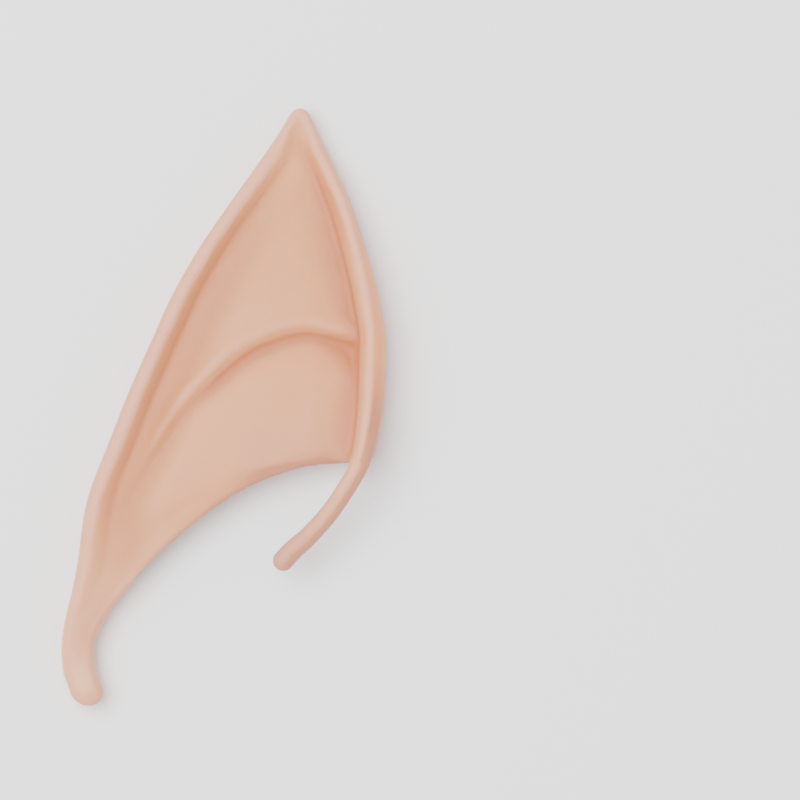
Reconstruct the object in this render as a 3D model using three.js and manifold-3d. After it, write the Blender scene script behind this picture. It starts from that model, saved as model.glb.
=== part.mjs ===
// An elf ear tip for the wearer's right ear: one moulding of soft latex, worn like a sleeve over the
// top of a real ear. It lies on its back with its front face up: +Y runs to the pointed tip, +X to
// the front rim beside the face, and +Z out of the front face. All sizes are in millimetres.
import * as THREE from "three";
import { mergeVertices } from "three/addons/utils/BufferGeometryUtils.js";
import Module from "manifold-3d";

// Driving sizes of the moulding
const LENGTH = 120; // pointed tip to the foot of the lobe hook, along Y
const WIDTH = 65.3; // back of the lobe hook to the bulge of the front rim, along X
const DEPTH = 15; // back wall to the crest of the front rim, along Z
const WALL = 1.2; // latex skin around the pocket
const BACK_RIM = 5.4; // width of the rolled rim on the back edge, outline to crease
const FRONT_RIM = 5.4; // width of the rolled rim on the front edge, outline to crease
const BACK_SWEEP = 11; // how far the hollow beside the back rim takes to rise to the face
const FRONT_SWEEP = 9.5; // the same beside the front rim
const UNDER_ROUNDING = 13; // how far the back wall curves in from the outline before it lies flat
const TIP_RADIUS = 2.2; // rounding of the pointed tip
const TIP_SLOPE = 0.52; // how far each side of the tip leans in, in radians
const POCKET_END = 2.5; // rounding of the two ends of the pocket

// The lip: along the arch the face rolls down to the open mouth of the pocket
const LIP_ROLL = 1; // how far the edge lies under the face
const LIP_WIDTH = 3.4; // width of the roll

// The antihelix fold: a low ridge across the face with a crease under it
const FOLD_RIDGE = 0.3; // height of the ridge
const FOLD_CREASE = 1.5; // depth of the crease
const FOLD_WIDTH = 3; // measure of the fold across its line

// The hook that holds under the lobe, and the tail that tucks in above the ear canal
const HOOK_FOOT_RADIUS = 3.4; // rounding of the foot of the hook
const HOOK_FOOT_LEAN = 0.12; // how far the foot of the hook points to the front as it goes down
const TAIL_ROOT = 4.2; // thickness of the tail where it leaves the rim
const TAIL_WAIST = 3.8; // thickness of the tail halfway
const TAIL_END = 4.4; // thickness of the tail at its free end

// Shares that shape the fold: the crest of its ridge and the reach of each of its bumps over
// FOLD_WIDTH, its strength at its two ends, where it starts to run out and would be gone along its
// line, and how much of each sweep beside a rim it takes to rise to its full height
const RIDGE_CREST = 1.15;
const RIDGE_REACH = 0.7;
const CREASE_REACH_ABOVE = 0.5;
const CREASE_REACH_BELOW = 1.2;
const CREASE_REACH_INSIDE = 1.5;
const FOLD_STRENGTH = [1.15, 0.85];
const FOLD_FADE = [0.72, 1.05];
const FOLD_BACK_RISE = 0.4;
const FOLD_FRONT_RISE = 0.22;

// Shares that shape the rolled rims
const RIM_CREST = 0.42; // crest of the back rim, as a share of its width
const BACK_ROUND = 0.5; // inner side of the back rim, from a soft slope (0) to a round bead (1)
const RIM_LIMIT = 0.4; // most of a narrow section that one rim takes
const RIM_LEAST = 0.33; // least of a rim's width that is left to it inside the pocket
const BACK_EDGE = 0.42; // height of the widest point of the back edge, between back wall and crest
const CURL_POWER = 3; // how late the back wall curls up to the outline: 2 is an even round

// Steps of the facets
const RING_SPACING = 2.2;
const FOLD_SPACING = 1.4;
const POCKET_SPACING = 3.4;
const EDGE_STEPS = 4;
const DROP_STEPS = 3;
const FACE_STEPS = 24;
const POCKET_STEPS = 12;
const UNDER_STEPS = 9;
const END_STEPS = 4;
const TAIL_SIDES = 10;
const FOLD_POINTS = 60;
const LIP_POINTS = 40;
const MERGE_WITHIN = 1e-4;

// Ribs across the moulding, from the pointed tip to the foot of the lobe hook. backX to frontY place
// a rib's two ends in the outline, as shares of WIDTH and LENGTH; from the mouth on, the front end
// lies on the arch. pocketX and pocketY are how far the pocket ends from the front end, in walls.
const RIB_COLUMNS = ["backX", "backY", "frontX", "frontY", "pocketX", "pocketY"];
const RIBS = [
  [0.703, 0.991, 0.762, 0.991, -1, 0],
  [0.652, 0.946, 0.8, 0.946, -1, 0],
  [0.523, 0.846, 0.886, 0.846, -1, 0],
  [0.422, 0.766, 0.935, 0.766, -1, 0],
  [0.338, 0.685, 0.975, 0.685, -1, 0],
  [0.271, 0.605, 0.998, 0.605, -1, 0],
  [0.206, 0.525, 0.995, 0.525, -1, 0],
  [0.157, 0.458, 0.978, 0.458, -1, -0.3],
  [0.123, 0.411, 0.95, 0.411, -1, -3],
  [0.115, 0.401, 0.877, 0.406, -0.5, -3.5],
  [0.103, 0.384, 0.772, 0.401, 0.3, -3.5],
  [0.092, 0.367, 0.665, 0.384, 1.2, -3.2],
  [0.077, 0.341, 0.545, 0.354, 1.8, -2.8],
  [0.063, 0.3, 0.415, 0.304, 2.2, -2.4],
  [0.051, 0.247, 0.295, 0.247, 1.6, -1.2],
  [0.032, 0.193, 0.203, 0.193, 1.4, -0.9],
  [0.012, 0.146, 0.137, 0.146, 0, 0],
  [0, 0.1, 0.103, 0.1, 0, 0],
  [0.003, 0.063, 0.108, 0.063, 0, 0],
  [0.022, 0.031, 0.129, 0.027, 0, 0],
];

// The section of each rib. under to frontEdge are heights above the flat of the back, as shares of
// DEPTH. rimWidth is a share of FRONT_RIM, square is how far the front rim's inner side goes from a
// soft slope (0) to a round bead with an upright side (1), curl is a share of UNDER_ROUNDING, hollow
// is how far the pocket reaches up into the rims, and crest is where the front rim is highest, as a
// share of its width from the front edge.
const SECTION_COLUMNS = [
  "under", "backRim", "backCrease", "face", "frontCrease", "frontRim", "frontEdge",
  "rimWidth", "square", "curl", "hollow", "crest",
];
const SECTIONS = [
  [0.115, 0.34, 0.345, 0.35, 0.345, 0.345, 0.23, 0.8, 0.5, 1, 0.3, 0.28],
  [0.08, 0.39, 0.345, 0.345, 0.34, 0.405, 0.235, 0.84, 0.5, 1, 0.3, 0.28],
  [0.02, 0.49, 0.365, 0.385, 0.355, 0.585, 0.26, 0.88, 0.7, 1, 0.45, 0.28],
  [0, 0.535, 0.385, 0.445, 0.39, 0.72, 0.295, 0.92, 0.85, 1, 0.45, 0.34],
  [0, 0.565, 0.41, 0.505, 0.445, 0.84, 0.335, 0.97, 0.95, 1, 0.45, 0.44],
  [0, 0.59, 0.435, 0.56, 0.505, 0.935, 0.36, 1, 0.9, 1, 0.45, 0.52],
  [0, 0.605, 0.46, 0.605, 0.56, 0.985, 0.375, 1, 1, 1, 0.4, 0.56],
  [0, 0.61, 0.475, 0.64, 0.585, 1, 0.375, 0.92, 1, 0.95, 0.2, 0.56],
  [0, 0.61, 0.485, 0.645, 0.6, 0.99, 0.375, 0.82, 1, 0.7, 0, 0.56],
  [0, 0.605, 0.49, 0.645, 0.62, 0.64, 0.57, 0.4, 0, 0.15, 0, 0.56],
  [0, 0.6, 0.495, 0.64, 0.625, 0.63, 0.56, 0.35, 0, 0.15, 0, 0.56],
  [0, 0.595, 0.495, 0.63, 0.62, 0.62, 0.55, 0.35, 0, 0.15, 0, 0.56],
  [0, 0.585, 0.495, 0.615, 0.605, 0.605, 0.53, 0.35, 0, 0.15, 0, 0.56],
  [0, 0.57, 0.495, 0.575, 0.575, 0.575, 0.49, 0.38, 0, 0.17, 0, 0.56],
  [0, 0.545, 0.5, 0.525, 0.53, 0.53, 0.43, 0.42, 0, 0.25, 0, 0.56],
  [0.005, 0.52, 0.5, 0.5, 0.495, 0.49, 0.34, 0.48, 0, 0.5, 0, 0.56],
  [0.025, 0.5, 0.5, 0.495, 0.485, 0.47, 0.3, 0.5, 0, 1, 0, 0.56],
  [0.045, 0.485, 0.492, 0.49, 0.48, 0.465, 0.29, 0.5, 0, 1, 0, 0.56],
  [0.06, 0.475, 0.484, 0.485, 0.475, 0.46, 0.285, 0.5, 0, 1, 0, 0.56],
  [0.075, 0.47, 0.475, 0.478, 0.47, 0.455, 0.28, 0.5, 0, 1, 0, 0.56],
];

// Places in the two tables above, first and last: the ribs round the fold, those of the pocket, and
// those that end on the rolled lip
const FOLD_RIBS = [4.2, 10];
const POCKET_RIBS = [1.8, 14.2];
const LIP_RIBS = [9, 14.5];
const LIP_FADE = [0.55, 1]; // where along the arch the roll starts to run out and is gone

// The line of the crease under the antihelix fold, as shares of WIDTH and LENGTH
const FOLD_LINE = [
  [0.93, 0.584],
  [0.86, 0.604],
  [0.76, 0.617],
  [0.659, 0.606],
  [0.551, 0.575],
  [0.412, 0.503],
  [0.305, 0.417],
  [0.237, 0.355],
  [0.203, 0.325],
];

// The middle line of the tail, from its root inside the front rim to its free end: shares of WIDTH,
// LENGTH and DEPTH
const TAIL_LINE = [
  [0.955, 0.5, 0.66],
  [0.948, 0.47, 0.77],
  [0.936, 0.44, 0.835],
  [0.917, 0.404, 0.84],
  [0.875, 0.364, 0.8],
  [0.823, 0.323, 0.74],
  [0.758, 0.284, 0.68],
  [0.716, 0.264, 0.64],
  [0.684, 0.245, 0.6],
];

const smooth = (t) => THREE.MathUtils.smoothstep(t, 0, 1);
const mix = THREE.MathUtils.lerp;
const placed = ([x, y]) => new THREE.Vector2(x * WIDTH, y * LENGTH);

// A table read at any place between its rows, along curves that never overshoot them.
function table(columns, rows) {
  const slopeAt = (c, i) => {
    const before = i > 0 ? rows[i][c] - rows[i - 1][c] : rows[1][c] - rows[0][c];
    const after = i < rows.length - 1 ? rows[i + 1][c] - rows[i][c] : before;
    return before * after > 0 ? (2 * before * after) / (before + after) : 0;
  };
  return (station) => {
    const i = Math.min(Math.floor(station), rows.length - 2);
    const t = station - i;
    const row = {};
    columns.forEach((name, c) => {
      const bend = (1 - t) * slopeAt(c, i) - t * slopeAt(c, i + 1);
      const rise = rows[i + 1][c] - rows[i][c];
      row[name] = mix(rows[i][c], rows[i + 1][c], t) + t * (1 - t) * (bend - (1 - 2 * t) * rise);
    });
    return row;
  };
}

const ribAt = table([...RIB_COLUMNS, ...SECTION_COLUMNS], RIBS.map((rib, i) => [...rib, ...SECTIONS[i]]));

// Where a point of the plan lies beside a line of points: how far off, positive to the right of the
// line, and how far along it, from 0 to 1.
function besideLine(point, line) {
  let nearest = Infinity;
  let distance = 0;
  let along = 0;
  for (let i = 0; i + 1 < line.length; i += 1) {
    const run = line[i + 1].clone().sub(line[i]);
    const offset = point.clone().sub(line[i]);
    const t = THREE.MathUtils.clamp(offset.dot(run) / run.lengthSq(), 0, 1);
    const gap = offset.clone().addScaledVector(run, -t).length();
    if (gap < nearest) {
      nearest = gap;
      distance = offset.cross(run) > 0 ? gap : -gap;
      along = (i + t) / (line.length - 1);
    }
  }
  return { distance, along };
}

// Height of the antihelix fold over the face at a point of the plan. Inside the pocket only the
// crease shows, and wider.
const foldLine = new THREE.SplineCurve(FOLD_LINE.map(placed)).getSpacedPoints(FOLD_POINTS);
function foldHeight(point, skin) {
  const { distance, along } = besideLine(point, foldLine);
  const left = 1 - smooth((along - FOLD_FADE[0]) / (FOLD_FADE[1] - FOLD_FADE[0]));
  const strength = left * mix(FOLD_STRENGTH[0], FOLD_STRENGTH[1], along);
  const bump = (centre, reach) => Math.exp(-(((distance - centre) / (reach * FOLD_WIDTH)) ** 2));
  if (skin > 0) return -strength * FOLD_CREASE * bump(0, CREASE_REACH_INSIDE);
  const ridge = FOLD_RIDGE * bump(RIDGE_CREST * FOLD_WIDTH, RIDGE_REACH);
  const crease = FOLD_CREASE * bump(0, distance < 0 ? CREASE_REACH_BELOW : CREASE_REACH_ABOVE);
  return strength * (ridge - crease);
}

// How far the lip rolls down at a point of the plan. Past the arch it stays at its lowest.
const archLine = Array.from({ length: LIP_POINTS }, (_, i) => {
  const row = ribAt(mix(...LIP_RIBS, i / (LIP_POINTS - 1)));
  return placed([row.frontX, row.frontY]);
});
function lipRoll(point) {
  const { distance, along } = besideLine(point, archLine);
  const share = THREE.MathUtils.clamp(1 - distance / LIP_WIDTH, 0, 1);
  const left = 1 - smooth((along - LIP_FADE[0]) / (LIP_FADE[1] - LIP_FADE[0]));
  return left * LIP_ROLL * share ** 2;
}

// One closed ring of the moulding or of its pocket: along the front face from the back edge to the
// front edge, then back along the underside. skin is how far the ring lies inside the latex.
function ringOf(station, skin) {
  const row = ribAt(station);
  const back = placed([row.backX, row.backY]);
  const front = placed([row.frontX, row.frontY]);
  const width = back.distanceTo(front);
  back.lerp(front, skin / width);
  front.add(new THREE.Vector2(row.pocketX, row.pocketY).multiplyScalar(skin));
  const span = back.distanceTo(front);
  const hollowed = (crest, crease) => (skin > 0 ? mix(crease, crest, row.hollow) : crest);
  const under = row.under * DEPTH + skin;
  const backRim = hollowed(row.backRim, row.backCrease) * DEPTH - skin;
  const frontRim = hollowed(row.frontRim, row.frontCrease) * DEPTH - skin;
  const backCrease = row.backCrease * DEPTH - skin;
  const frontCrease = row.frontCrease * DEPTH - skin;
  const face = row.face * DEPTH - skin;
  const backEdge = mix(row.under, row.backRim, BACK_EDGE) * DEPTH;
  const frontEdge = Math.min(row.frontEdge * DEPTH, frontRim);
  const narrowed = (rim) => Math.max(Math.min(rim, RIM_LIMIT * width) - 2 * skin, RIM_LEAST * rim);
  const backWidth = narrowed(BACK_RIM);
  const frontWidth = narrowed(row.rimWidth * FRONT_RIM);
  const square = skin > 0 ? 0 : row.square;
  const faceWidth = span - backWidth - frontWidth;
  const backSweep = Math.min(BACK_SWEEP, faceWidth / 2);
  const frontSweep = Math.min(FRONT_SWEEP, faceWidth / 2);
  const backCrest = RIM_CREST * backWidth;
  const frontCrest = row.crest * frontWidth;
  const ring = [];
  const planAt = (s) => back.clone().lerp(front, s / span);
  const add = (s, z) => ring.push(new THREE.Vector3(...planAt(s), z));
  const addOnFace = (s, z) => add(s, z - lipRoll(planAt(s)));

  for (let i = 0; i <= EDGE_STEPS; i += 1) {
    const turn = (i / EDGE_STEPS) * (Math.PI / 2);
    add(backCrest * (1 - Math.cos(turn)), mix(backEdge, backRim, Math.sin(turn)));
  }
  for (let i = 1; i <= DROP_STEPS; i += 1) {
    const t = i / DROP_STEPS;
    const left = mix(1 - smooth(t), Math.sqrt(1 - t ** 2), BACK_ROUND);
    add(mix(backCrest, backWidth, t), mix(backCrease, backRim, left));
  }
  const faceSteps = skin > 0 ? POCKET_STEPS : FACE_STEPS;
  for (let i = 1; i < faceSteps; i += 1) {
    const t = i / faceSteps;
    const fromBack = t * faceWidth;
    const fromFront = faceWidth - fromBack;
    const lift = smooth(fromBack / backSweep) * smooth(fromFront / frontSweep);
    const backRise = smooth(fromBack / (FOLD_BACK_RISE * backSweep));
    const frontRise = smooth(fromFront / (FOLD_FRONT_RISE * frontSweep));
    const fold = backRise * frontRise * foldHeight(planAt(backWidth + fromBack), skin);
    addOnFace(backWidth + fromBack, mix(mix(backCrease, frontCrease, t), face, lift) + fold);
  }
  for (let i = 0; i < DROP_STEPS; i += 1) {
    const t = i / DROP_STEPS;
    const climb = mix(smooth(t), Math.sqrt(1 - (1 - t) ** 2), square);
    addOnFace(span - mix(frontWidth, frontCrest, t), mix(frontCrease, frontRim, climb));
  }
  for (let i = 0; i <= EDGE_STEPS; i += 1) {
    const turn = (i / EDGE_STEPS) * (Math.PI / 2);
    addOnFace(span - frontCrest * (1 - Math.sin(turn)), mix(frontEdge, frontRim, Math.cos(turn)));
  }
  const backRounding = Math.min(UNDER_ROUNDING, span / 2);
  const frontRounding = Math.min(row.curl * UNDER_ROUNDING, span / 2);
  const curl = (gap, rounding) => 1 - Math.sqrt(1 - Math.max(0, 1 - gap / rounding) ** CURL_POWER);
  for (let i = 1; i < UNDER_STEPS; i += 1) {
    const s = (span * (1 + Math.cos((Math.PI * i) / UNDER_STEPS))) / 2;
    const backCurl = (backEdge - under) * curl(s, backRounding);
    const frontCurl = (frontEdge - under) * curl(span - s, frontRounding);
    add(s, under + Math.max(backCurl, frontCurl));
  }
  return ring;
}

const centreOf = (ring) =>
  ring.reduce((sum, p) => sum.add(p), new THREE.Vector3()).divideScalar(ring.length);

// Rings that round a blunt end off, going outwards by reach, and the point that closes it. slope is
// how far the sides lean in where the rounding starts, in radians.
function roundEnd(ring, outwards, reach, slope = 0) {
  const centre = centreOf(ring);
  const rings = [];
  for (let i = 1; i < END_STEPS; i += 1) {
    const turn = mix(slope, Math.PI / 2, i / END_STEPS);
    const size = Math.cos(turn) / Math.cos(slope);
    const forwards = (Math.sin(turn) - Math.sin(slope)) / (1 - Math.sin(slope));
    const middle = centre.clone().addScaledVector(outwards, reach * forwards);
    rings.push(ring.map((p) => p.clone().sub(centre).multiplyScalar(size).add(middle)));
  }
  return { rings, pole: centre.addScaledVector(outwards, reach) };
}

// A closed skin through rings with as many points each, from one pole to the other.
function loft(firstPole, rings, lastPole) {
  const count = rings[0].length;
  const points = [firstPole, ...rings.flat(), lastPole];
  const last = points.length - 1;
  const at = (ring, i) => 1 + ring * count + (i % count);
  const faces = [];
  for (let i = 0; i < count; i += 1) {
    faces.push(0, at(0, i), at(0, i + 1));
    faces.push(last, at(rings.length - 1, i + 1), at(rings.length - 1, i));
  }
  for (let r = 0; r + 1 < rings.length; r += 1) {
    for (let i = 0; i < count; i += 1) {
      faces.push(at(r, i), at(r + 1, i), at(r, i + 1));
      faces.push(at(r, i + 1), at(r + 1, i), at(r + 1, i + 1));
    }
  }
  return new THREE.BufferGeometry().setFromPoints(points).setIndex(faces);
}

// Places along the table of ribs, close enough that no step is longer than spacing.
function stations(first, last, spacing) {
  const middle = (row) => placed([(row.backX + row.frontX) / 2, (row.backY + row.frontY) / 2]);
  const found = [];
  for (let from = first; from < last; ) {
    const to = Math.min(Math.floor(from) + 1, last);
    const steps = Math.ceil(middle(ribAt(from)).distanceTo(middle(ribAt(to))) / spacing);
    for (let i = 0; i < steps; i += 1) found.push(mix(from, to, i / steps));
    from = to;
  }
  return found;
}

// The outside of the moulding without its tail, from the pointed tip to the foot of the lobe hook.
function body() {
  const [aboveFold, belowFold] = FOLD_RIBS;
  const foot = RIBS.length - 1;
  const places = [
    ...stations(0, aboveFold, RING_SPACING),
    ...stations(aboveFold, belowFold, FOLD_SPACING),
    ...stations(belowFold, foot, RING_SPACING),
    foot,
  ];
  const rings = places.map((station) => ringOf(station, 0));
  const tipReach = (1 - Math.sin(TIP_SLOPE)) * TIP_RADIUS;
  const tipEnd = roundEnd(rings[0], new THREE.Vector3(0, 1, 0), tipReach, TIP_SLOPE);
  const footwards = new THREE.Vector3(HOOK_FOOT_LEAN, -1, 0).normalize();
  const footEnd = roundEnd(rings.at(-1), footwards, HOOK_FOOT_RADIUS);
  return loft(tipEnd.pole, [...tipEnd.rings.reverse(), ...rings, ...footEnd.rings], footEnd.pole);
}

// The pocket for the wearer's ear. From the mouth on it runs out past the arch and so opens it.
function pocket() {
  const [first, last] = POCKET_RIBS;
  const places = [...stations(first, last, POCKET_SPACING), last];
  const rings = places.map((station) => ringOf(station, WALL));
  const tipEnd = roundEnd(rings[0], new THREE.Vector3(0, 1, 0), POCKET_END);
  const hookEnd = roundEnd(rings.at(-1), new THREE.Vector3(0, -1, 0), POCKET_END);
  return loft(tipEnd.pole, [...tipEnd.rings.reverse(), ...rings, ...hookEnd.rings], hookEnd.pole);
}

// The tail: a round finger that goes on from the front rim and ends in a dome.
function tail() {
  const line = new THREE.CatmullRomCurve3(
    TAIL_LINE.map(([x, y, z]) => new THREE.Vector3(x * WIDTH, y * LENGTH, z * DEPTH)),
  );
  const steps = Math.ceil(line.getLength() / RING_SPACING);
  const upwards = new THREE.Vector3(0, 0, 1);
  const rings = [];
  for (let i = 0; i <= steps; i += 1) {
    const middle = line.getPointAt(i / steps);
    const forwards = line.getTangentAt(i / steps);
    const across = new THREE.Vector3().crossVectors(forwards, upwards).normalize();
    const out = new THREE.Vector3().crossVectors(across, forwards);
    const waist = Math.sin((Math.PI * i) / steps);
    const radius = mix(mix(TAIL_ROOT, TAIL_END, i / steps), TAIL_WAIST, waist) / 2;
    const ring = [];
    for (let k = 0; k < TAIL_SIDES; k += 1) {
      const turn = (k / TAIL_SIDES) * 2 * Math.PI;
      const side = middle.clone().addScaledVector(across, radius * Math.cos(turn));
      ring.push(side.addScaledVector(out, radius * Math.sin(turn)));
    }
    rings.push(ring);
  }
  const root = roundEnd(rings[0], line.getTangentAt(0).negate(), TAIL_ROOT / 2);
  const end = roundEnd(rings.at(-1), line.getTangentAt(1), TAIL_END / 2);
  return loft(root.pole, [...root.rings.reverse(), ...rings, ...end.rings], end.pole);
}

const wasm = await Module();
wasm.setup();

function solidOf(geometry) {
  const merged = mergeVertices(geometry, MERGE_WITHIN);
  return new wasm.Manifold(
    new wasm.Mesh({
      numProp: 3,
      vertProperties: merged.attributes.position.array,
      triVerts: new Uint32Array(merged.index.array),
    }),
  );
}

function geometryOf(solid) {
  const mesh = solid.getMesh();
  const points = new THREE.BufferAttribute(mesh.vertProperties, 3);
  const geometry = new THREE.BufferGeometry().setAttribute("position", points);
  geometry.setIndex(new THREE.BufferAttribute(mesh.triVerts, 1));
  geometry.computeVertexNormals();
  return geometry;
}

const latex = new THREE.MeshStandardMaterial({ color: 0xdfbba6, roughness: 0.6, metalness: 0 });

const moulding = geometryOf(solidOf(body()).subtract(solidOf(pocket())).add(solidOf(tail())));
moulding.computeBoundingBox();
const middle = moulding.boundingBox.getCenter(new THREE.Vector3());
moulding.translate(-middle.x, -middle.y, -moulding.boundingBox.min.z);

const earSleeve = new THREE.Mesh(moulding, latex);
earSleeve.name = "ear_sleeve";

const earTip = new THREE.Group();
earTip.add(earSleeve);

export default earTip;
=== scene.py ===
import math

import bpy
import numpy as np
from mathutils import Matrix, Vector


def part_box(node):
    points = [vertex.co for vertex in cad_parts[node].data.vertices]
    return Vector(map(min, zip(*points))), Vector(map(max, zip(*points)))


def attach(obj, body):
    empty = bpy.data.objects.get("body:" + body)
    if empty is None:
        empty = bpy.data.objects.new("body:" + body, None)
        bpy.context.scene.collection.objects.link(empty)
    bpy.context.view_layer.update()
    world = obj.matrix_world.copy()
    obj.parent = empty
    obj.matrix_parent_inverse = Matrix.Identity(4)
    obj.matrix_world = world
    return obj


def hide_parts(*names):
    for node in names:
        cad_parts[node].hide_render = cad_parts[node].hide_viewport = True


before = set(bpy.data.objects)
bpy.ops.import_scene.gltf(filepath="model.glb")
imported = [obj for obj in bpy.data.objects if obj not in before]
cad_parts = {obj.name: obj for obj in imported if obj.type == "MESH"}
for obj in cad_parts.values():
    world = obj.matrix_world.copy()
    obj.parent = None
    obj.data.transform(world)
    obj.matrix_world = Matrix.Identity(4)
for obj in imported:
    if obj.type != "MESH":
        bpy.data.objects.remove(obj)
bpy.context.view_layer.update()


# The skin of the sleeve: one moulding of soft latex, poured in a two-part mould. Its outside runs
# from the pointed tip to the foot of the lobe hook, with a rolled rim on both edges and the
# antihelix fold across the face. It is built in its own corner and set in the frame later.
LENGTH = 0.120  # pointed tip to the foot of the lobe hook
WIDTH = 0.0653  # back of the lobe hook to the bulge of the front rim
DEPTH = 0.015  # back wall to the crest of the front rim
WALL = 0.0012  # latex around the pocket
BACK_RIM = 0.0054  # width of the bead along the back edge
FRONT_RIM = 0.0054
BACK_SWEEP = 0.011  # how far the hollow beside the back rim takes to rise to the face
FRONT_SWEEP = 0.0095
UNDER_ROUNDING = 0.013  # how far in from each edge the back wall starts to curl up
CURL_POWER = 3
TIP_RADIUS = 0.0022
TIP_SLOPE = 0.52  # how far round the tip's dome the skin ends, in radians
HOOK_FOOT_RADIUS = 0.0034
HOOK_FOOT_LEAN = (0.12, -1.0, 0.0)
RIM_CREST = 0.42  # crest of the back rim, as a share of its width
RIM_LIMIT = 0.4  # most of a narrow section that one rim takes
RIM_LEAST = 1 / 3  # least of its own width that a rim keeps there
BACK_ROUND = 0.5  # inner side of the back rim, from a soft slope (0) to a round bead (1)
BACK_EDGE = 0.42  # height of the widest point of the back edge
LIP_ROLL = 0.001  # how far the edge along the arch lies under the face
LIP_WIDTH = 0.0034
LIP_RIBS = (9, 14.5)  # places in the table of ribs where the rolled lip begins and ends
LIP_FADE = (0.55, 1.0)  # where it starts to run out and ends, along the arch
FOLD_RIDGE = 0.0003
FOLD_CREASE = 0.0015
FOLD_WIDTH = 0.0030  # the next six are shares of it, measured from the crease
RIDGE_PLACE = 1.15
RIDGE_REACH = 0.7
CREASE_REACH = (0.5, 1.2)  # towards the ridge and away from it
CREASE_REACH_INSIDE = 1.5
GROOVE_PLACE = 1.7
GROOVE_REACH = 0.15
FOLD_STRENGTH = (1.15, 0.85)  # at its front end and at its lower end
FOLD_RISE = (0.4, 0.12)  # how soon it sets in from the back rim and the front rim, in sweeps
FOLD_FADE = (0.72, 1.05)  # where the fold starts to run out and would end, along its line
FOLD_GROOVE = 0.0001  # fine groove along the upper foot of the ridge
SKIN_STEP = 0.00045  # distance between the rings of the skin
EDGE_STEPS = 10
DROP_STEPS = 9
FACE_STEPS = 120
UNDER_STEPS = 60
END_STEPS = 10
CURVE_STEPS = 40
FOLD_POINTS = 90
LIP_POINTS = 60

# Ribs from the tip to the foot: their two ends as shares of WIDTH and LENGTH, and how far the
# pocket stops before the front end, in walls
RIBS = [
    [0.703, 0.991, 0.762, 0.991, -1, 0],
    [0.652, 0.946, 0.800, 0.946, -1, 0],
    [0.523, 0.846, 0.886, 0.846, -1, 0],
    [0.422, 0.766, 0.935, 0.766, -1, 0],
    [0.338, 0.685, 0.975, 0.685, -1, 0],
    [0.271, 0.605, 0.998, 0.605, -1, 0],
    [0.206, 0.525, 0.995, 0.525, -1, 0],
    [0.157, 0.458, 0.978, 0.458, -1, -0.3],
    [0.123, 0.411, 0.950, 0.411, -1, -3],
    [0.115, 0.401, 0.877, 0.406, -0.5, -3.5],
    [0.103, 0.384, 0.772, 0.401, 0.3, -3.5],
    [0.092, 0.367, 0.665, 0.384, 1.2, -3.2],
    [0.077, 0.341, 0.545, 0.354, 1.8, -2.8],
    [0.063, 0.300, 0.415, 0.304, 2.2, -2.4],
    [0.051, 0.247, 0.295, 0.247, 1.6, -1.2],
    [0.032, 0.193, 0.203, 0.193, 1.4, -0.9],
    [0.012, 0.146, 0.137, 0.146, 0, 0],
    [0.000, 0.100, 0.103, 0.100, 0, 0],
    [0.003, 0.063, 0.108, 0.063, 0, 0],
    [0.022, 0.031, 0.129, 0.027, 0, 0],
]

# Heights of each rib's section as shares of DEPTH: under, back rim, back crease, face, front
# crease, front rim and front edge; then the front rim's width, how upright its inner side is, how
# far the back wall curls up to it, how far the pocket reaches into the rims, and how far its crest
# lies from the front edge
SECTIONS = [
    [0.115, 0.340, 0.345, 0.350, 0.345, 0.345, 0.230, 0.80, 0.50, 1.00, 0.30, 0.28],
    [0.080, 0.390, 0.345, 0.345, 0.340, 0.405, 0.235, 0.84, 0.50, 1.00, 0.30, 0.28],
    [0.020, 0.490, 0.365, 0.385, 0.355, 0.585, 0.260, 0.88, 0.70, 1.00, 0.45, 0.28],
    [0.000, 0.535, 0.385, 0.445, 0.390, 0.720, 0.295, 0.92, 0.85, 1.00, 0.45, 0.34],
    [0.000, 0.565, 0.410, 0.505, 0.445, 0.840, 0.335, 0.97, 0.95, 1.00, 0.45, 0.44],
    [0.000, 0.590, 0.435, 0.560, 0.505, 0.935, 0.360, 1.00, 0.90, 1.00, 0.45, 0.52],
    [0.000, 0.605, 0.460, 0.605, 0.560, 0.985, 0.375, 1.00, 1.00, 1.00, 0.40, 0.56],
    [0.000, 0.610, 0.475, 0.640, 0.585, 1.000, 0.375, 0.92, 1.00, 0.95, 0.20, 0.56],
    [0.000, 0.610, 0.485, 0.645, 0.600, 0.990, 0.375, 0.82, 1.00, 0.70, 0.00, 0.56],
    [0.000, 0.605, 0.490, 0.645, 0.620, 0.640, 0.570, 0.40, 0.00, 0.15, 0.00, 0.56],
    [0.000, 0.600, 0.495, 0.640, 0.625, 0.630, 0.560, 0.35, 0.00, 0.15, 0.00, 0.56],
    [0.000, 0.595, 0.495, 0.630, 0.620, 0.620, 0.550, 0.35, 0.00, 0.15, 0.00, 0.56],
    [0.000, 0.585, 0.495, 0.615, 0.605, 0.605, 0.530, 0.35, 0.00, 0.15, 0.00, 0.56],
    [0.000, 0.570, 0.495, 0.575, 0.575, 0.575, 0.490, 0.38, 0.00, 0.17, 0.00, 0.56],
    [0.000, 0.545, 0.500, 0.525, 0.530, 0.530, 0.430, 0.42, 0.00, 0.25, 0.00, 0.56],
    [0.005, 0.520, 0.500, 0.500, 0.495, 0.490, 0.340, 0.48, 0.00, 0.50, 0.00, 0.56],
    [0.025, 0.500, 0.500, 0.495, 0.485, 0.470, 0.300, 0.50, 0.00, 1.00, 0.00, 0.56],
    [0.045, 0.485, 0.492, 0.490, 0.480, 0.465, 0.290, 0.50, 0.00, 1.00, 0.00, 0.56],
    [0.060, 0.475, 0.484, 0.485, 0.475, 0.460, 0.285, 0.50, 0.00, 1.00, 0.00, 0.56],
    [0.075, 0.470, 0.475, 0.478, 0.470, 0.455, 0.280, 0.50, 0.00, 1.00, 0.00, 0.56],
]
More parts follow.
